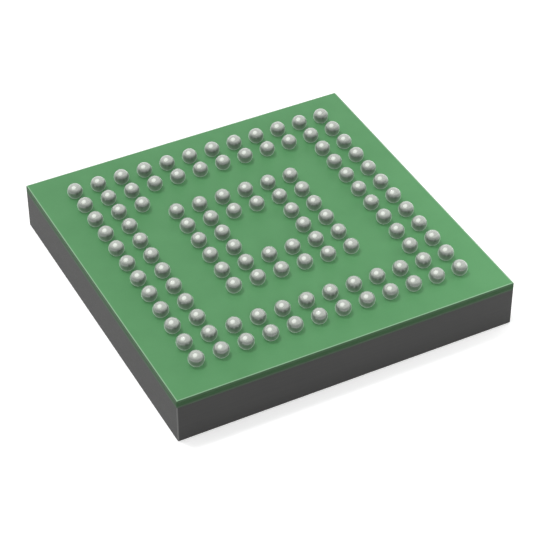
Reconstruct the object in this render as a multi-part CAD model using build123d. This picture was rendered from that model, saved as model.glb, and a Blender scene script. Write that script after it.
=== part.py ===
from build123d import *
import math
import os

os.makedirs("parts", exist_ok=True)

# A ball grid array package lying on its marked face, balls up, as on a bench before soldering.
# Origin: centre of the marked face. X and Y run along the ball grid, Z points out of the ball side.
# The first ball, A1, is at the low X, high Y corner. All sizes are in millimetres.

# Body, sawn square out of a moulded panel
body_side = 7.0
body_corner_radius = 0.03
edge_bevel = 0.015
moulding_thickness = 0.83
marked_edge_radius = 0.03
a1_dimple_diameter = 0.5
a1_dimple_depth = 0.04
a1_dimple_inset = 0.65

# Two-layer laminate substrate
core_thickness = 0.09
copper_thickness = 0.015
mask_over_copper = 0.02
plating_thickness = 0.005
drill_diameter = 0.1
barrel_wall = 0.015
via_land_diameter = 0.16
trace_width = 0.04
ball_trace_width = 0.08

# Solder balls, on rings of the square grid counted inwards from its outermost ring
ball_pitch = 0.5
grid_count = 12
ball_rings = (0, 1, 3, 4)
signal_rings = (0, 1)
index_ball_ring = 2
ball_diameter = 0.31
land_diameter = 0.27
mask_opening_diameter = 0.22
row_letters = "abcdefghjklm"

# Die and its attachment
die_side = 3.2
die_thickness = 0.25
die_film_thickness = 0.025
die_film_overhang = 0.02
passivation_thickness = 0.004
pads_per_side = 25
pad_pitch = 0.115
pad_side = 0.065
pad_inset = 0.08
ground_pad_step = 5

# Bond fingers and the ground plane on the die side of the substrate
finger_gap_to_die = 0.33
finger_length = 0.2
finger_width = 0.1
finger_pitch = 0.19
end_track_pitch = 0.15
window_margin = 0.02
window_end_margin = 0.04
ground_window_gap = 0.08
ground_window_width = 0.12
ground_window_corner_gap = 0.18
ground_plane_margin = 0.03

# Gold bond wires
wire_diameter = 0.025
wire_bend_radius = 0.0375
signal_loop_height = 0.15
signal_knee_share = 0.45
ground_loop_height = 0.08
ground_knee_share = 0.62
ball_bond_diameter = 0.056
ball_bond_height = 0.014
ball_bond_rounding = 0.0049
stitch_length = 0.06
stitch_width = 0.04
stitch_thickness = 0.006

# Heights above the marked face, worked out from the stack
mask_thickness = copper_thickness + mask_over_copper
die_mask_low = moulding_thickness
die_copper_low = die_mask_low + mask_over_copper
core_low = die_mask_low + mask_thickness
core_high = core_low + core_thickness
ball_copper_high = core_high + copper_thickness
ball_face = core_high + mask_thickness
film_low = die_mask_low - die_film_thickness
die_low = film_low - die_thickness
wire_face = die_low - passivation_thickness
finger_face = die_copper_low - plating_thickness

# Places in plan, as distances from the centre
half_pitch = ball_pitch / 2
grid_reach = (grid_count - 1) * half_pitch
pad_radius = die_side / 2 - pad_inset
finger_start = die_side / 2 + finger_gap_to_die
finger_end = finger_start + finger_length
ground_window_start = die_side / 2 + ground_window_gap
ground_window_end = ground_window_start + ground_window_width
ground_plane_reach = ground_window_end + ground_plane_margin
via_line = grid_reach - signal_rings[-1] * ball_pitch + half_pitch
outer_via_line = grid_reach + half_pitch


def quarter_turns(shapes):
    """The shapes of the +X side and their copies on the other three sides."""
    return [Rot(0, 0, 90 * turn) * shape for turn in range(4) for shape in shapes]


def write(name, shapes):
    """One STEP file for a node, with each shape as its own solid."""
    solids = [solid for shape in shapes for solid in shape.solids()]
    export_step(Compound(solids), f"parts/{name}.step")


def disc(x, y, diameter, low, high):
    """An upright round slug between two heights."""
    place = Pos(x, y, low)
    return place * Cylinder(diameter / 2, high - low, align=(Align.CENTER, Align.CENTER, Align.MIN))


def slab(side, low, high):
    """A square layer of the body, with the sawn corners."""
    return Pos(0, 0, low) * extrude(RectangleRounded(side, side, body_corner_radius), high - low)


def block(x_low, x_high, y_low, y_high, low, high):
    """A rectangular block between six limits."""
    size = (x_high - x_low, y_high - y_low, high - low)
    centre = ((x_low + x_high) / 2, (y_low + y_high) / 2, (low + high) / 2)
    return Pos(*centre) * Box(*size)


def outline_edges(solid, height):
    """The edges round the body's outline at one height."""
    inside = body_side / 2 - 2 * body_corner_radius
    at_height = solid.edges().filter_by_position(Axis.Z, height, height)
    return [edge for edge in at_height if max(abs(edge.center().X), abs(edge.center().Y)) > inside]


def ring_places(ring):
    """Ball places of one ring that belong to the +X side: the side's last corner is the next side's first."""
    reach = grid_reach - ring * ball_pitch
    count = grid_count - 1 - 2 * ring
    return [(reach, -reach + step * ball_pitch) for step in range(count)]


def via_place(ball):
    """A ball's via is half a pitch outwards and half a pitch along."""
    return (ball[0] + half_pitch, ball[1] + half_pitch)


def turned_place(place, turn):
    """A place of the +X side moved to another side by quarter turns."""
    x, y = place
    for _ in range(turn):
        x, y = -y, x
    return (x, y)


side_balls = [ball for ring in ball_rings for ball in ring_places(ring)]
side_vias = [via_place(ball) for ball in side_balls]
signal_vias = [via_place(ball) for ring in signal_rings for ball in ring_places(ring)]
ground_vias = [via for via in side_vias if via not in signal_vias]
index_reach = grid_reach - index_ball_ring * ball_pitch
index_ball = (-index_reach, index_reach)
all_balls = [turned_place(ball, turn) for turn in range(4) for ball in side_balls] + [index_ball]


def solder_ball(x, y):
    """A reflowed ball: a sphere cut off at the rim of the mask opening, and the plug that fills the opening."""
    centre_height = math.sqrt(ball_diameter**2 - mask_opening_diameter**2) / 2
    sphere = Pos(x, y, ball_face + centre_height) * Sphere(ball_diameter / 2)
    below = block(x - ball_pitch, x + ball_pitch, y - ball_pitch, y + ball_pitch, core_low, ball_face)
    plug = disc(x, y, mask_opening_diameter, ball_copper_high + plating_thickness, ball_face)
    return (sphere - below) + plug


def solder_ball_rows():
    """Twelve rows, lettered away from A1 along X."""
    pattern = solder_ball(0, 0)
    rows = {}
    for number, letter in enumerate(row_letters):
        row_x = -grid_reach + number * ball_pitch
        places = [ball for ball in all_balls if abs(ball[0] - row_x) < half_pitch]
        rows[letter] = [Pos(x, y, 0) * pattern for x, y in sorted(places, key=lambda ball: -ball[1])]
    return rows


def upright(sketch, low, high):
    """A flat outline raised between two heights."""
    return extrude(Pos(0, 0, low) * sketch, high - low)


def strip(points, width):
    """A flat track of one width through points, with round ends and joints."""
    shapes = []
    for start, end in zip(points, points[1:]):
        run = math.dist(start, end)
        heading = math.degrees(math.atan2(end[1] - start[1], end[0] - start[0]))
        middle = ((start[0] + end[0]) / 2, (start[1] + end[1]) / 2)
        shapes.append(Pos(*middle) * Rot(0, 0, heading) * Rectangle(run, width))
    joints = [Pos(*point) * Circle(width / 2) for point in points]
    return shapes[0] + shapes[1:] + joints


def ball_lands():
    """Ball side copper: a round land under each ball, joined to its via land by a short track."""
    lands = []
    for ball in side_balls:
        via = via_place(ball)
        outline = strip([ball, via], ball_trace_width)
        outline += [Pos(*ball) * Circle(land_diameter / 2), Pos(*via) * Circle(via_land_diameter / 2)]
        lands.append(upright(outline, core_high, ball_copper_high))
    index_land = disc(*index_ball, land_diameter, core_high, ball_copper_high)
    return quarter_turns(lands) + [index_land]


def land_plating():
    """Nickel and gold on each ball land, inside the mask opening."""
    top = ball_copper_high + plating_thickness
    return [disc(x, y, mask_opening_diameter, ball_copper_high, top) for x, y in all_balls]


def barrels_and_plugs(vias):
    """Copper barrels through the core at the given places of one side, and the resin that fills them."""
    bore = drill_diameter - 2 * barrel_wall
    tubes, plugs = [], []
    for x, y in vias:
        plug = disc(x, y, bore, core_low, core_high)
        tubes.append(disc(x, y, drill_diameter, core_low, core_high) - plug)
        plugs.append(plug)
    return quarter_turns(tubes), quarter_turns(plugs)


def substrate_core():
    """Glass and resin core, drilled for the vias."""
    holes = quarter_turns([disc(x, y, drill_diameter, core_low, core_high) for x, y in side_vias])
    return slab(body_side, core_low, core_high) - holes


def finger_places():
    """Middle of each bond finger's width along one side."""
    count = pads_per_side - pads_per_side // ground_pad_step
    first = -(count - 1) * finger_pitch / 2
    return [first + number * finger_pitch for number in range(count)]


def finger_routes():
    """Track of each finger of one side, from its outer end to its via.

    The inner line of vias stands between the tracks to the outer line. Each of those passes midway
    between two inner vias, and the first two go round the end of the line.
    """
    inner = sorted(via[1] for via in signal_vias if via[0] < outer_via_line - half_pitch)
    outer = sorted(via[1] for via in signal_vias if via[0] > outer_via_line - half_pitch)
    passes = [inner[0] - 3 * end_track_pitch, inner[0] - 2 * end_track_pitch]
    passes += [along + half_pitch for along in inner]
    routes = [[(via_line, across), (outer_via_line, along)] for across, along in zip(passes, outer)]
    routes += [[(via_line, along)] for along in inner]
    routes.sort(key=lambda route: route[0][1])
    return [[(finger_end, finger), *route] for finger, route in zip(finger_places(), routes)]


def bond_fingers():
    """Die side copper: a finger for each signal wire, its track and its via land."""
    fingers = []
    for route in finger_routes():
        along = route[0][1]
        finger = Pos((finger_start + finger_end) / 2, along) * Rectangle(finger_length, finger_width)
        outline = strip(route, trace_width) + [finger, Pos(*route[-1]) * Circle(via_land_diameter / 2)]
        fingers.append(upright(outline, die_copper_low, core_low))
    return quarter_turns(fingers)


def ground_plane():
    """Die side copper under the die, with a rim that the ground wires reach."""
    return block(
        -ground_plane_reach, ground_plane_reach, -ground_plane_reach, ground_plane_reach, die_copper_low, core_low
    )


def finger_windows(high):
    """Openings in the die side mask over the fingers of each side, up to a height."""
    reach = finger_places()[-1] + finger_width / 2 + window_end_margin
    start, end = finger_start - window_margin, finger_end + window_margin
    return quarter_turns([block(start, end, -reach, reach, die_mask_low, high)])


def ground_windows(low, high):
    """Openings in the die side mask over the rim of the ground plane."""
    reach = ground_window_start - ground_window_corner_gap
    return quarter_turns([block(ground_window_start, ground_window_end, -reach, reach, low, high)])


def finger_plating():
    """Nickel and gold on the bond fingers."""
    half = finger_width / 2
    plates = [
        block(finger_start, finger_end, along - half, along + half, finger_face, die_copper_low)
        for along in finger_places()
    ]
    return quarter_turns(plates)


def ground_plating():
    """Nickel and gold on the open strips of the ground plane."""
    return ground_windows(finger_face, die_copper_low)


def ball_side_mask(lands):
    """Green solder mask, open over every ball land."""
    mask = slab(body_side, core_high, ball_face)
    mask = chamfer(outline_edges(mask, ball_face), edge_bevel)
    openings = [disc(x, y, mask_opening_diameter, ball_copper_high, ball_face) for x, y in all_balls]
    return mask - (lands + openings)


def die_side_mask(fingers, plane):
    """Green solder mask under the moulding, open over the fingers and the ground strips."""
    mask = slab(body_side, die_mask_low, core_low)
    openings = finger_windows(core_low) + ground_windows(die_mask_low, die_copper_low)
    return mask - (fingers + [plane] + openings)


def die_film():
    """Adhesive film that holds the die to the mask."""
    reach = die_side / 2 + die_film_overhang
    return block(-reach, reach, -reach, reach, film_low, die_mask_low)


def silicon_die():
    """Bare silicon, with its circuit side away from the substrate."""
    half = die_side / 2
    return block(-half, half, -half, half, die_low, film_low)


def pad_places():
    """Middle of each bond pad along one side of the die."""
    first = -(pads_per_side - 1) * pad_pitch / 2
    return [first + number * pad_pitch for number in range(pads_per_side)]


def die_bond_pads():
    """Aluminium pads, flush with the passivation round them."""
    half = pad_side / 2
    return quarter_turns(
        [
            block(pad_radius - half, pad_radius + half, along - half, along + half, wire_face, die_low)
            for along in pad_places()
        ]
    )


def die_passivation(pads):
    """Clear film over the circuit, open at the pads."""
    half = die_side / 2
    return block(-half, half, -half, half, wire_face, die_low) - pads


def bond_wire(start, end, loop_height, knee_share):
    """A gold wire: ball bond on the die pad, loop, and a flattened stitch on the substrate."""
    span = math.dist(start, end)
    heading = math.degrees(math.atan2(end[1] - start[1], end[0] - start[0]))
    crown = wire_face - loop_height
    knee = (knee_share * span, crown + wire_diameter)
    drop = finger_face - knee[1]
    beyond = (span - knee[0]) / drop * wire_diameter
    points = [
        (0, 0, wire_face),
        (0, 0, crown),
        (knee[0], 0, knee[1]),
        (span + beyond, 0, finger_face + wire_diameter),
    ]
    path = FilletPolyline(*points, radius=wire_bend_radius)
    loop = sweep(Plane(points[0], z_dir=(0, 0, -1)) * Circle(wire_diameter / 2), path=path)
    past_finger = block(0, 2 * span, -span, span, finger_face, core_high)
    ball_bond = disc(0, 0, ball_bond_diameter, wire_face - ball_bond_height, wire_face)
    ball_bond = fillet(ball_bond.edges(), ball_bond_rounding)
    stitch_outline = Pos(span, 0) * Ellipse(stitch_length / 2, stitch_width / 2)
    stitch = upright(stitch_outline, finger_face - stitch_thickness, finger_face)
    wire = (loop - past_finger) + ball_bond + stitch
    return Pos(start[0], start[1], 0) * Rot(0, 0, heading) * wire


def side_wires():
    """The bond wires of the +X side: most reach the fingers, and every fifth one the ground strip."""
    finger_line = (finger_start + finger_end) / 2
    ground_line = (ground_window_start + ground_window_end) / 2
    spread = finger_places()[-1] / pad_places()[-1] - 1
    ground_share = (ground_line - pad_radius) / (finger_line - pad_radius)
    fingers = iter(finger_places())
    wires = []
    for number, along in enumerate(pad_places()):
        pad = (pad_radius, along)
        if number % ground_pad_step == ground_pad_step // 2:
            end = (ground_line, along * (1 + spread * ground_share))
            wires.append(bond_wire(pad, end, ground_loop_height, ground_knee_share))
        else:
            end = (finger_line, next(fingers))
            wires.append(bond_wire(pad, end, signal_loop_height, signal_knee_share))
    return wires


def moulding(contents, windows):
    """Black moulding compound, cast round the die and wires and into the mask windows."""
    body = slab(body_side, 0, moulding_thickness)
    body = fillet(outline_edges(body, 0), marked_edge_radius)
    corner = body_side / 2 - a1_dimple_inset
    body -= disc(-corner, corner, a1_dimple_diameter, 0, a1_dimple_depth)
    return (body + windows) - contents


for letter, balls in solder_ball_rows().items():
    write(f"solder_balls_row_{letter}", balls)

lands = ball_lands()
write("ball_lands", lands)
write("land_plating", land_plating())
write("ball_side_mask", [ball_side_mask(lands)])
write("substrate_core", [substrate_core()])

signal_barrels, signal_plugs = barrels_and_plugs(signal_vias)
ground_barrels, ground_plugs = barrels_and_plugs(ground_vias)
write("signal_via_barrels", signal_barrels)
write("ground_via_barrels", ground_barrels)
write("via_plugs", signal_plugs + ground_plugs)

fingers = bond_fingers()
plane = ground_plane()
write("bond_fingers", fingers)
write("ground_plane", [plane])
write("die_side_mask", [die_side_mask(fingers, plane)])
write("finger_plating", finger_plating())
write("ground_plating", ground_plating())

film, die, pads = die_film(), silicon_die(), die_bond_pads()
passivation = die_passivation(pads)
write("die_attach_film", [film])
write("silicon_die", [die])
write("die_bond_pads", pads)
write("die_passivation", [passivation])

wires = side_wires()
for turn, side in enumerate(("right", "back", "left", "front")):
    write(f"bond_wires_{side}", [Rot(0, 0, 90 * turn) * wire for wire in wires])

die_stack = block(-die_side / 2, die_side / 2, -die_side / 2, die_side / 2, wire_face, film_low)
contents = [film, die_stack] + quarter_turns(wires) + fingers + finger_plating()
windows = finger_windows(core_low) + ground_windows(die_mask_low, finger_face)
write("moulded_body", [moulding(contents, windows)])
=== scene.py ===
# %% [markdown]
# # A ball grid array package, balls up
# The package lies on its marked face, so the side that is soldered to a board points up. What
# shows is the green mask with its grid of solder balls, the thin sawn edge of the substrate and
# the thick dark moulding below it. The construction comes from the frame. This script gives it
# its finishes, its smooth balls and its light.

# %% Load the frame
import math

import bpy
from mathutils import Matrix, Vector


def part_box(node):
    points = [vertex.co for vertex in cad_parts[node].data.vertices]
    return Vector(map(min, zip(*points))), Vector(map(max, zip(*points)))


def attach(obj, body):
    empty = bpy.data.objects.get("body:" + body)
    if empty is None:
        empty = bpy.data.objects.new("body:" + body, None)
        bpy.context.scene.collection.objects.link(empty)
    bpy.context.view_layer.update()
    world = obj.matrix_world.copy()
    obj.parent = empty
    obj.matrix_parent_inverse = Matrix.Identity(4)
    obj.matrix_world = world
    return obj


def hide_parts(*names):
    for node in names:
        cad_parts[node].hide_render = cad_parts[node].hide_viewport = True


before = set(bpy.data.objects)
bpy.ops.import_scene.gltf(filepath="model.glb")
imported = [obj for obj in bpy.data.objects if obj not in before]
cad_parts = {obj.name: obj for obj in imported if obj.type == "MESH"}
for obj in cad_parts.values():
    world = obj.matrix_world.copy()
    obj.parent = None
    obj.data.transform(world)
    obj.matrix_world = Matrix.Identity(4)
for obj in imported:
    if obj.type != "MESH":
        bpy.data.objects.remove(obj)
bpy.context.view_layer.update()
bpy.ops.object.select_all(action="DESELECT")

# %% [markdown]
# ## Lengths
# Blender works in metres, and this package is seven millimetres wide, so two short names keep the
# numbers readable. Everything that the frame knows is asked of the frame, so the looks follow if
# the package changes.

# %% Units and the stack's heights
MM = 0.001
UM = 0.000001

mask_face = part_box("ball_side_mask")[1].z
body_low, body_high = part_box("moulded_body")
side = body_high.x - body_low.x
half_side = side / 2
print("side", round(side / MM, 3), "mm, mask face at", round(mask_face / MM, 3), "mm")

# %% [markdown]
# ## The camera
# A package is photographed for a catalogue with a long lens from three quarters above, so that
# its edges stay nearly parallel. The camera is placed by turning and raising it about the point
# that it looks at. That is easier to read, and to change, than a bare position.

# %% Place the camera
look_at = Vector((-0.3686 * MM, -1.2147 * MM, mask_face - 0.0133 * MM))
camera_turn = math.radians(-27.415)
camera_rise = math.radians(40.10)
camera_distance = 38.14 * MM
camera_field = math.radians(15.462)
nearest_seen = 1 * MM
farthest_seen = 1.0

towards_camera = Vector((
    math.sin(camera_turn) * math.cos(camera_rise),
    -math.cos(camera_turn) * math.cos(camera_rise),
    math.sin(camera_rise),
))
bpy.ops.object.camera_add(location=look_at + camera_distance * towards_camera)
camera = bpy.context.object
camera.name = "catalogue_camera"
camera.rotation_euler = towards_camera.to_track_quat("Z", "Y").to_euler()
camera.data.angle = camera_field
camera.data.clip_start = nearest_seen
camera.data.clip_end = farthest_seen
bpy.context.scene.camera = camera
print("lens", round(camera.data.lens, 1), "mm")

# %% [markdown]
# ## A small language for materials
# A finish is a chain of sums on patterns: some noise, stretched, mixed into a colour. Written
# node by node that is long and hard to follow. One small class wraps a socket, so that a sum on
# wires reads as a sum on numbers, and each operator adds its own node. Every other node comes
# from one method of a second class, which stands for the whole material.

# %% Wires that can be added and multiplied
class Wire:
    """A number, colour or vector on its way through a material's nodes."""

    def __init__(self, finish, socket):
        self.finish = finish
        self.socket = socket

    def combine(self, operation, first, second):
        settings = {"operation": operation}
        return self.finish.node("ShaderNodeMath", settings, {0: first, 1: second})

    def size(self):
        """The number without its sign."""
        return self.combine("ABSOLUTE", self, 0.0)

    def larger(self, other):
        return self.combine("MAXIMUM", self, other)

    def smaller(self, other):
        return self.combine("MINIMUM", self, other)

    def __add__(self, other):
        return self.combine("ADD", self, other)

    def __radd__(self, other):
        return self.combine("ADD", other, self)

    def __sub__(self, other):
        return self.combine("SUBTRACT", self, other)

    def __rsub__(self, other):
        return self.combine("SUBTRACT", other, self)

    def __mul__(self, other):
        return self.combine("MULTIPLY", self, other)

    def __rmul__(self, other):
        return self.combine("MULTIPLY", other, self)


print("wires add, subtract and multiply")


# %% Finishes that make their own nodes
class Finish:
    """A material, with short ways to add its nodes."""

    def __init__(self, name, tree=None):
        """Makes a material, or works on the tree that is given, such as the world's."""
        self.material = None
        if tree is None:
            self.material = bpy.data.materials.new(name)
            self.material.use_nodes = True
            tree = self.material.node_tree
        self.tree = tree

    def node(self, kind, settings=None, inputs=None, output=0):
        """Adds a node, makes its settings first, then fills its sockets. Returns one output."""
        made = self.tree.nodes.new(kind)
        for name, value in (settings or {}).items():
            setattr(made, name, value)
        for name, value in (inputs or {}).items():
            self.set(made, name, value)
        return Wire(self, made.outputs[output])

    def set(self, made, name, value):
        """Fills one socket with a number, a colour or a wire."""
        if isinstance(value, Wire):
            self.tree.links.new(value.socket, made.inputs[name])
        else:
            made.inputs[name].default_value = value

    def shade(self, **sockets):
        """Fills sockets of the main shader, named with low lines for spaces."""
        shader = self.tree.nodes["Principled BSDF"]
        for name, value in sockets.items():
            self.set(shader, name.replace("_", " "), value)

    def place(self, stretch):
        """The object's own coordinates, stretched: a stretch of 1000 counts millimetres."""
        coordinates = self.node("ShaderNodeTexCoord", output="Object")
        return self.node("ShaderNodeMapping", {}, {"Vector": coordinates, "Scale": stretch})

    def along(self, axis):
        """How far a point lies along X, Y or Z."""
        coordinates = self.node("ShaderNodeTexCoord", output="Object")
        return self.node("ShaderNodeSeparateXYZ", {}, {0: coordinates}, output=axis)

    def facing(self, direction, toward):
        """How much a direction points toward another, from 1 down to -1."""
        settings = {"operation": "DOT_PRODUCT"}
        sockets = {0: direction, 1: Vector(toward).normalized()}
        return self.node("ShaderNodeVectorMath", settings, sockets, output="Value")

    def noise(self, stretch, detail=3.0, roughness=0.5):
        """Cloudy noise, from 0 to 1."""
        sockets = {
            "Vector": self.place(stretch),
            "Scale": 1.0,
            "Detail": detail,
            "Roughness": roughness,
        }
        return self.node("ShaderNodeTexNoise", {}, sockets, output="Fac")

    def spread(self, value, low, high, out_low=0.0, out_high=1.0):
        """Maps one stretch of numbers to another, with flat ends."""
        sockets = {"Value": value, 1: low, 2: high, 3: out_low, 4: out_high}
        return self.node("ShaderNodeMapRange", {}, sockets)

    def blend(self, share, first, second):
        """One colour fading to another."""
        sockets = {0: share, 6: first, 7: second}
        return self.node("ShaderNodeMix", {"data_type": "RGBA"}, sockets, output=2)

    def background(self):
        """1 for a ray that looks at the background, straight, in a mirror or through glass."""
        kinds = ("Is Camera Ray", "Is Glossy Ray", "Is Transmission Ray")
        camera, glossy, through = [self.node("ShaderNodeLightPath", output=kind) for kind in kinds]
        return camera.larger(glossy).larger(through)

    def bump(self, height, depth, strength):
        """A fine relief of this depth in metres."""
        sockets = {"Strength": strength, "Distance": depth, "Height": height}
        return self.node("ShaderNodeBump", {}, sockets)


def dress(node, finish):
    """Gives a node of the frame its finish."""
    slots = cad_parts[node].data.materials
    slots.clear()
    slots.append(finish.material)


# Noise keeps near its middle: most of it lies in the first range, nearly all in the second.
most_noise = (0.35, 0.65)
nearly_all_noise = (0.3, 0.7)
print("noise is spread from", most_noise, "or", nearly_all_noise)

# %% [markdown]
# ## Colours
# A painter reads a colour off a screen in steps from 0 to 255. Those steps are bent, to give the
# dark tones more of them, while a shader counts light itself. One function straightens them, so
# each finish can name its colours as they are seen.

# %% Read colours as a screen shows them
screen_steps = 255
toe, toe_slope = 0.04045, 12.92
curve_offset, curve_power = 0.055, 2.4


def colour(red, green, blue):
    """A colour in screen steps, turned into the amounts of light that it stands for."""
    def light(value):
        share = value / screen_steps
        if share <= toe:
            return share / toe_slope
        return ((share + curve_offset) / (1 + curve_offset)) ** curve_power
    return (light(red), light(green), light(blue), 1.0)


white = (1, 1, 1, 1)
print("a middle grey of 128 gives back", round(colour(128, 128, 128)[0], 3), "of the light")

# %% [markdown]
# ## Moulding compound
# The body is cast from epoxy packed with fine glass beads, blackened with carbon. Its face comes
# out of the mould softly matt. Its sides are sawn out of a panel, so they are a little smoother,
# with faint level streaks from the blade. Along the upright corners between them a pale line is
# painted, a painted highlight of each corner.
# The grain is noise at the beads' size. The streaks are the same noise, long along the side and
# short in height, and the corners are found by measuring in from the sides. A painted picture
# could show all this too, but it would have to be redone for each size of package.

# %% Measure from the edges
def from_sides(finish):
    """How far a point lies in from the nearest sawn side, and from the nearest corner."""
    x, y = finish.along("X").size(), finish.along("Y").size()
    return half_side - x.larger(y), half_side - x.smaller(y)


print("sides are found", round(half_side / MM, 3), "mm from the middle")

# %% Make the moulding compound
grain_per_metre = 45000.0
clouds_per_metre = 900.0
streaks_along = 350.0
streaks_up = 26000.0
grain_share, cloud_share, streak_share = 0.6, 0.2, 0.2
dark_compound, light_compound = colour(52, 52, 52), colour(62, 62, 61)
# The colour of the painted highlight along the upright corners.
painted_corner_highlight = colour(106, 106, 105)
compound_roughness = (0.52, 0.68)
corner_highlight_width = 14 * UM
grain_depth = 2 * UM
streak_relief = 0.5

moulding = Finish("moulding_compound")
grain = moulding.noise((grain_per_metre,) * 3, detail=4.0, roughness=0.65)
cloud = moulding.noise((clouds_per_metre,) * 3, detail=2.0)
streaks = moulding.noise((streaks_along, streaks_along, streaks_up), detail=2.0)
pattern = grain * grain_share + cloud * cloud_share + streaks * streak_share
tone = moulding.spread(pattern, *most_noise)
# A painted highlight: a pale line along the upright corners.
corner = moulding.spread(from_sides(moulding)[1], corner_highlight_width, 2 * corner_highlight_width, 1.0, 0.0)
body_colour = moulding.blend(tone, dark_compound, light_compound)
moulding.shade(
    Base_Color=moulding.blend(corner, body_colour, painted_corner_highlight),
    Roughness=moulding.spread(grain, *nearly_all_noise, *compound_roughness),
    Normal=moulding.bump(grain + streaks * streak_relief, grain_depth, strength=0.5),
    Specular_IOR_Level=0.35,
)
dress("moulded_body", moulding)
print("moulding compound", len(moulding.tree.nodes), "nodes")

# %% [markdown]
# ## Solder mask
# The mask is a film of green epoxy, cured to a soft gloss and left slightly uneven, like orange
# peel. The saw that parts the packages leaves its cut faces dark. A hair's breadth of the face
# beside them is painted pale, a painted highlight along the edge; a bevel could carry that
# highlight as light, but here it is colour. So the face is laid on in two close greens, and then
# changed by how far a point lies in from the side.

# %% Make the solder mask
mottle_per_metre = 1400.0
peel_per_metre = 30000.0
mottle_share, peel_share = 0.7, 0.3
dark_green, light_green = colour(85, 144, 93), colour(92, 151, 100)
# The pale green is the colour of the painted highlight along the top edges.
painted_edge_highlight, sawn_green = colour(146, 184, 150), colour(50, 84, 53)
mask_roughness = (0.44, 0.52)
peel_depth = 4 * UM
edge_highlight_width = 28 * UM
edge_cut = 9 * UM
edge_fade = 5 * UM

mask = Finish("green_solder_mask")
mottle = mask.noise((mottle_per_metre,) * 3, detail=3.0)
peel = mask.noise((peel_per_metre,) * 3, detail=2.0)
tone = mask.spread(mottle * mottle_share + peel * peel_share, *nearly_all_noise)
in_from_side = from_sides(mask)[0]
# A painted highlight: a pale line along the top edges of the face.
edge_highlight = mask.spread(in_from_side, edge_highlight_width, edge_highlight_width + edge_fade, 1.0, 0.0)
sawn = mask.spread(in_from_side, edge_cut, edge_cut + edge_fade, 1.0, 0.0)
face_colour = mask.blend(tone, dark_green, light_green)
mask.shade(
    Base_Color=mask.blend(sawn, mask.blend(edge_highlight, face_colour, painted_edge_highlight), sawn_green),
    Roughness=mask.spread(peel, *nearly_all_noise, *mask_roughness),
    Normal=mask.bump(mottle, peel_depth, strength=0.25),
    Specular_IOR_Level=0.35,
)
dress("ball_side_mask", mask)
print("solder mask", len(mask.tree.nodes), "nodes")

# %% [markdown]
# ## Laminate
# The core is glass cloth in resin. Sawn through, it shows as a dark green band with fine level
# fibres. The film of mask on its other side shows as a greyer line along the moulding, its colour
# painted paler as a painted highlight of the edge between substrate and moulding. Both are cut by
# the same blade and look alike but for their colour, so one function makes the two.

# %% Make the laminate and the inner mask
fibres_along = 9000.0
fibres_up = 120000.0
fibre_depth = 2 * UM
sawn_layers = {
    "substrate_core": ("sawn_laminate", colour(44, 77, 46), colour(54, 87, 56)),
    # The inner mask's paler grey is partly its cut face and partly a painted highlight along the
    # moulding.
    "die_side_mask": ("sawn_inner_mask_and_highlight", colour(64, 82, 65), colour(74, 92, 75)),
}


def sawn_layer(name, dark, light):
    """A layer of the substrate as the saw leaves it, with level fibres."""
    layer = Finish(name)
    fibres = layer.noise((fibres_along, fibres_along, fibres_up), detail=2.0)
    layer.shade(
        Base_Color=layer.blend(layer.spread(fibres, *most_noise), dark, light),
        Roughness=0.6,
        Normal=layer.bump(fibres, fibre_depth, strength=0.5),
        Specular_IOR_Level=0.2,
    )
    return layer


for node, look in sawn_layers.items():
    dress(node, sawn_layer(*look))
print("sawn layers", len(sawn_layers))

# %% [markdown]
# ## Hidden metals and films
# The copper, gold, silicon and resins inside can't be seen until the package is cut open, and
# each still gets its own finish. Each is a plain pattern of two close tones, so one function makes
# them all, and a table says which tones, how metallic, how rough and how fine.

# %% Make the inner finishes
roughness_swing = 0.15


def inner_finish(name, dark, light, metallic, roughness, grain_size):
    """A finish of two close tones in fine grain."""
    finish = Finish(name)
    pattern = finish.noise((1 / grain_size,) * 3)
    smoothest, roughest = roughness * (1 - roughness_swing), roughness * (1 + roughness_swing)
    finish.shade(
        Base_Color=finish.blend(finish.spread(pattern, *most_noise), dark, light),
        Roughness=finish.spread(pattern, *nearly_all_noise, smoothest, roughest),
        Metallic=metallic,
    )
    return finish


inner_looks = {
    "plated_copper": (colour(190, 110, 80), colour(216, 140, 104), 1.0, 0.3, 20 * UM),
    "plug_resin": (colour(176, 170, 146), colour(196, 190, 166), 0.0, 0.6, 10 * UM),
    "soft_gold": (colour(212, 172, 92), colour(230, 192, 112), 1.0, 0.28, 15 * UM),
    "attach_film": (colour(150, 146, 136), colour(168, 164, 154), 0.0, 0.5, 25 * UM),
    "ground_silicon": (colour(96, 98, 104), colour(112, 114, 120), 0.6, 0.22, 60 * UM),
    "circuit_film": (colour(88, 100, 112), colour(120, 118, 132), 0.4, 0.15, 90 * UM),
    "pad_aluminium": (colour(214, 216, 218), colour(228, 229, 231), 1.0, 0.35, 12 * UM),
    "gold_wire": (colour(222, 178, 92), colour(238, 198, 112), 1.0, 0.2, 12 * UM),
}
inner_finishes = {name: inner_finish(name, *look) for name, look in inner_looks.items()}
print("inner finishes", list(inner_finishes))

# %% Dress the inner nodes
inner_nodes = {
    "plated_copper": (
        "ball_lands", "bond_fingers", "ground_plane", "signal_via_barrels", "ground_via_barrels",
    ),
    "plug_resin": ("via_plugs",),
    "soft_gold": ("land_plating", "finger_plating", "ground_plating"),
    "attach_film": ("die_attach_film",),
    "ground_silicon": ("silicon_die",),
    "circuit_film": ("die_passivation",),
    "pad_aluminium": ("die_bond_pads",),
    "gold_wire": ("bond_wires_right", "bond_wires_back", "bond_wires_left", "bond_wires_front"),
}
for name, nodes in inner_nodes.items():
    for node in nodes:
        dress(node, inner_finishes[name])
print("inner nodes", sum(len(nodes) for nodes in inner_nodes.values()))
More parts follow.
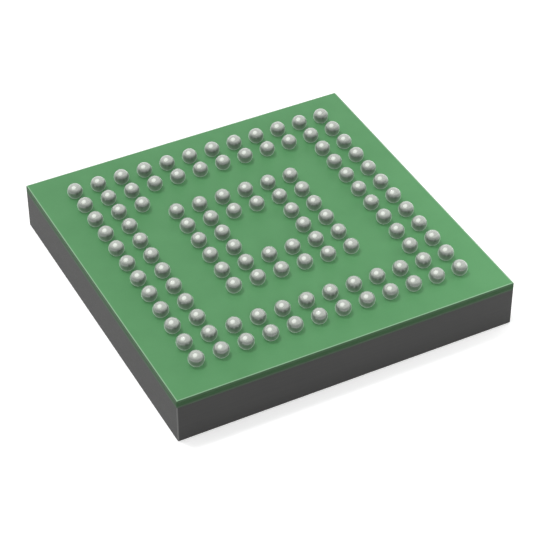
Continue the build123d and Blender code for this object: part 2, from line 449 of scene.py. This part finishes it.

# %% [markdown]
# ## Solder
# A reflowed ball is tin, with a thin clear skin over it that catches the sharp glints and the pale
# rim. Its colour is painted light over the crown and dark grey down the sides, a painted
# reflection of the light space above and the green mask below, and it is made less metallic where
# it is dark. Two materials, one above the other, would leave a hard line round each ball. So there
# is one, which turns from dark to light by how high a point lies above the ball's middle: fast
# round the shoulder, and slowly over the crown.

# %% Make the solder
ball_low, ball_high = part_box("solder_balls_row_a")
ball_radius = (ball_high.x - ball_low.x) / 2
ball_centre = ball_high.z - ball_radius
shoulder_from = 0.5 * ball_radius
shoulder_to = 0.68 * ball_radius
crown_to = 0.97 * ball_radius
shoulder_share = 0.8
# The two colours of the painted reflection: dark grey down the sides, light over the crown.
painted_dark_reflection, painted_light_reflection = colour(86, 97, 86), colour(180, 185, 177)
reflection_dark_metallic, reflection_light_metallic = 0.1, 1.0
skin_per_metre = 22000.0
skin_roughness = (0.18, 0.24)

solder = Finish("reflowed_solder")
above_centre = solder.along("Z") - ball_centre
# A painted reflection: the colour turns from dark to light by height above the ball's middle.
shoulder = solder.spread(above_centre, shoulder_from, shoulder_to, 0.0, shoulder_share)
crown = solder.spread(above_centre, shoulder_to, crown_to, 0.0, 1.0 - shoulder_share)
bright = shoulder + crown
skin = solder.noise((skin_per_metre,) * 3, detail=2.0)
solder.shade(
    Base_Color=solder.blend(bright, painted_dark_reflection, painted_light_reflection),
    Metallic=solder.spread(bright, 0.0, 1.0, reflection_dark_metallic, reflection_light_metallic),
    Roughness=solder.spread(skin, *nearly_all_noise, *skin_roughness),
    IOR=1.8,
    Sheen_Weight=1.0,
    Sheen_Roughness=0.5,
    Sheen_Tint=(0.9, 1.0, 0.92, 1.0),
    Coat_Weight=1.0,
    Coat_IOR=1.7,
    Coat_Roughness=0.06,
)
print("solder", len(solder.tree.nodes), "nodes, ball radius", round(ball_radius / MM, 4), "mm")

# %% [markdown]
# ## The balls
# The frame's balls are faceted, which is enough to weigh and to bump into things. A mirror-like
# ball needs a smooth outline. Smoothing the frame's own mesh would change it, and drawing a
# hundred balls one by one would be slow. So one ball is modelled as a sphere, cut off level where
# it meets the mask, with its neck drawn down into the mask's opening. Each row is that one ball
# copied along the row and joined.

# %% Model one ball
ball_sides = 32
ball_belts = 20
neck_drop = ball_low.z - mask_face
cut_threshold = 0.001 * UM
crease_angle = math.radians(40)

bpy.ops.mesh.primitive_uv_sphere_add(
    segments=ball_sides, ring_count=ball_belts, radius=ball_radius, location=(0, 0, ball_centre)
)
bpy.ops.object.transform_apply(location=True, rotation=True, scale=True)
ball = bpy.context.object
ball.name = "pattern_ball"
bpy.ops.object.mode_set(mode="EDIT")
bpy.ops.mesh.select_all(action="SELECT")
bpy.ops.mesh.bisect(
    plane_co=(0, 0, mask_face), plane_no=(0, 0, 1), clear_inner=True, threshold=cut_threshold
)
bpy.ops.mesh.extrude_region_move(TRANSFORM_OT_translate={"value": (0, 0, neck_drop)})
bpy.ops.mesh.edge_face_add()
bpy.ops.mesh.select_all(action="SELECT")
bpy.ops.mesh.normals_make_consistent(inside=False)
bpy.ops.object.mode_set(mode="OBJECT")
bpy.ops.object.shade_smooth_by_angle(angle=crease_angle)
print("one ball has", len(ball.data.polygons), "faces")

# %% Find the places of a row
ball_pitch = 0.5 * MM
half_step = 0.5  # a grid of an even number of balls has its middle between two of them


def row_places(node):
    """Middles of the balls of a row, found from how far its points lie along the row."""
    low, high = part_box(node)
    middle_x = (low.x + high.x) / 2
    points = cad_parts[node].data.vertices
    steps = {round(point.co.y / ball_pitch - half_step) for point in points}
    return [(middle_x, (step + half_step) * ball_pitch) for step in sorted(steps)]


rows = sorted(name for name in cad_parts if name.startswith("solder_balls_row_"))
print("balls in each row", [len(row_places(node)) for node in rows])

# %% Copy the ball along each row
for node in rows:
    bpy.ops.object.select_all(action="DESELECT")
    copies = []
    for x, y in row_places(node):
        copy = ball.copy()
        copy.data = ball.data.copy()
        copy.location = (x, y, 0)
        bpy.context.scene.collection.objects.link(copy)
        copy.select_set(True)
        copies.append(copy)
    bpy.context.view_layer.objects.active = copies[0]
    bpy.ops.object.join()
    row = bpy.context.object
    row.name = node.replace("solder_balls_row_", "smooth_balls_row_")
    bpy.ops.object.transform_apply(location=True, rotation=True, scale=True)
    row.data.materials.append(solder.material)
    # Matt faces don't count the balls in their even light, so the mask stays one green.
    row.visible_diffuse = False
    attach(row, "root")
    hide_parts(node)
bpy.data.objects.remove(ball)
print("rows", len(rows))

# %% [markdown]
# ## Floor
# A catalogue picture stands on white. The floor is a large pale sheet. Under a plain light paper
# reads as grey, so to a ray that looks at the background the sheet also gives off a little light
# of its own, and the shadow of the package stays on it. Cutting the package out onto plain white
# would lose that shadow.

# %% Lay the floor
floor_size = 0.6
floor_glow = 0.45

bpy.ops.mesh.primitive_plane_add(size=floor_size, location=(0, 0, 0))
floor = bpy.context.object
floor.name = "studio_floor"
paper = Finish("white_paper")
paper.shade(
    Base_Color=colour(232, 232, 232),
    Roughness=0.9,
    Emission_Color=white,
    Emission_Strength=paper.background() * floor_glow,
)
floor.data.materials.append(paper.material)
print("floor", floor_size, "m")

# %% [markdown]
# ## The room
# The room is plain white wherever it is seen: behind the package, in the mirror of a ball and
# through glass. As a light it is dimmer, or every matt face would be washed out. It gives an even
# light from all round and more of it from the left, so that the left side of the body is a step
# paler than the front. A picture of a real room round the scene would do this too, but the balls
# would then mirror that room.

# %% Light the room
even_light = 0.085
left_light = 1.22
leftward = (-1, 0, 0)

world = bpy.data.worlds.new("studio")
bpy.context.scene.world = world
world.use_nodes = True
world.cycles.sampling_method = "NONE"
room = Finish("studio", world.node_tree)
direction = room.node("ShaderNodeTexCoord", output="Generated")
left = room.spread(room.facing(direction, leftward), 0.0, 1.0)
matt = even_light + left * left * left_light
shown = room.background()
background = world.node_tree.nodes["Background"]
room.set(background, "Strength", matt + shown * (1.0 - matt))
room.set(background, "Color", white)
print("room", len(world.node_tree.nodes), "nodes")

# %% [markdown]
# ## Lamps
# A lamp high overhead and wide, like a big soft box, puts one soft highlight on the upper left of
# each ball. A small hard one, high at the back, throws the short dark shadow at the foot of each
# ball, toward the front and right. A soft one, low in front, lights the front of the body, and
# another on the right catches the pale rims of the balls on that side. Each of these would add a
# highlight of its own to every ball, so only the first is seen in mirrors.

# %% Hang the far lamps
lamp_distance = 0.2
seen_in_mirrors = "key_lamp"
# Where each lamp hangs, its strength, and how many degrees of the sky it fills.
far_lamps = {
    "key_lamp": ((-0.263, 0.086, 0.965), 0.6, 58),
    "back_lamp": ((-0.17, 0.30, 0.94), 1.02, 9),
    "front_lamp": ((-0.25, -0.82, 0.51), 0.82, 30),
    "side_lamp": ((0.75, 0.25, 0.6), 0.4, 60),
}

for name, (toward, strength, breadth) in far_lamps.items():
    toward = Vector(toward)
    bpy.ops.object.light_add(type="SUN", location=toward * lamp_distance)
    sun = bpy.context.object
    sun.name = name
    sun.rotation_euler = toward.to_track_quat("Z", "Y").to_euler()
    sun.data.energy = strength
    sun.data.angle = math.radians(breadth)
    sun.visible_glossy = name == seen_in_mirrors
print("far lamps", list(far_lamps))

# %% [markdown]
# ## Panel
# A square panel close on the right brightens the mask near it, as a window would, and falls off
# across it. A far lamp can't do that, as it lights the whole face alike. The panel too is kept
# out of mirrors, and out of the picture.

# %% Hang the panel
panel_side = 5 * MM
panel_place = Vector((7.2 * MM, -3.3 * MM, 4.5 * MM))
panel_aim = Vector((3 * MM, -3 * MM, mask_face))
panel_light = 1.5

bpy.ops.object.light_add(type="AREA", location=panel_place)
panel = bpy.context.object
panel.name = "right_panel"
panel.rotation_euler = (panel_place - panel_aim).to_track_quat("Z", "Y").to_euler()
panel.data.shape = "SQUARE"
panel.data.size = panel_side
panel.data.energy = panel_light * math.pi * panel_side * panel_side
panel.visible_camera = False
panel.visible_glossy = False
print("panel", round(panel.data.energy / UM), "microwatts")

# %% [markdown]
# ## Finish
# The picture is shown as it is rendered, without a film look over it.

# %% Finish
bpy.context.scene.view_settings.view_transform = "Standard"
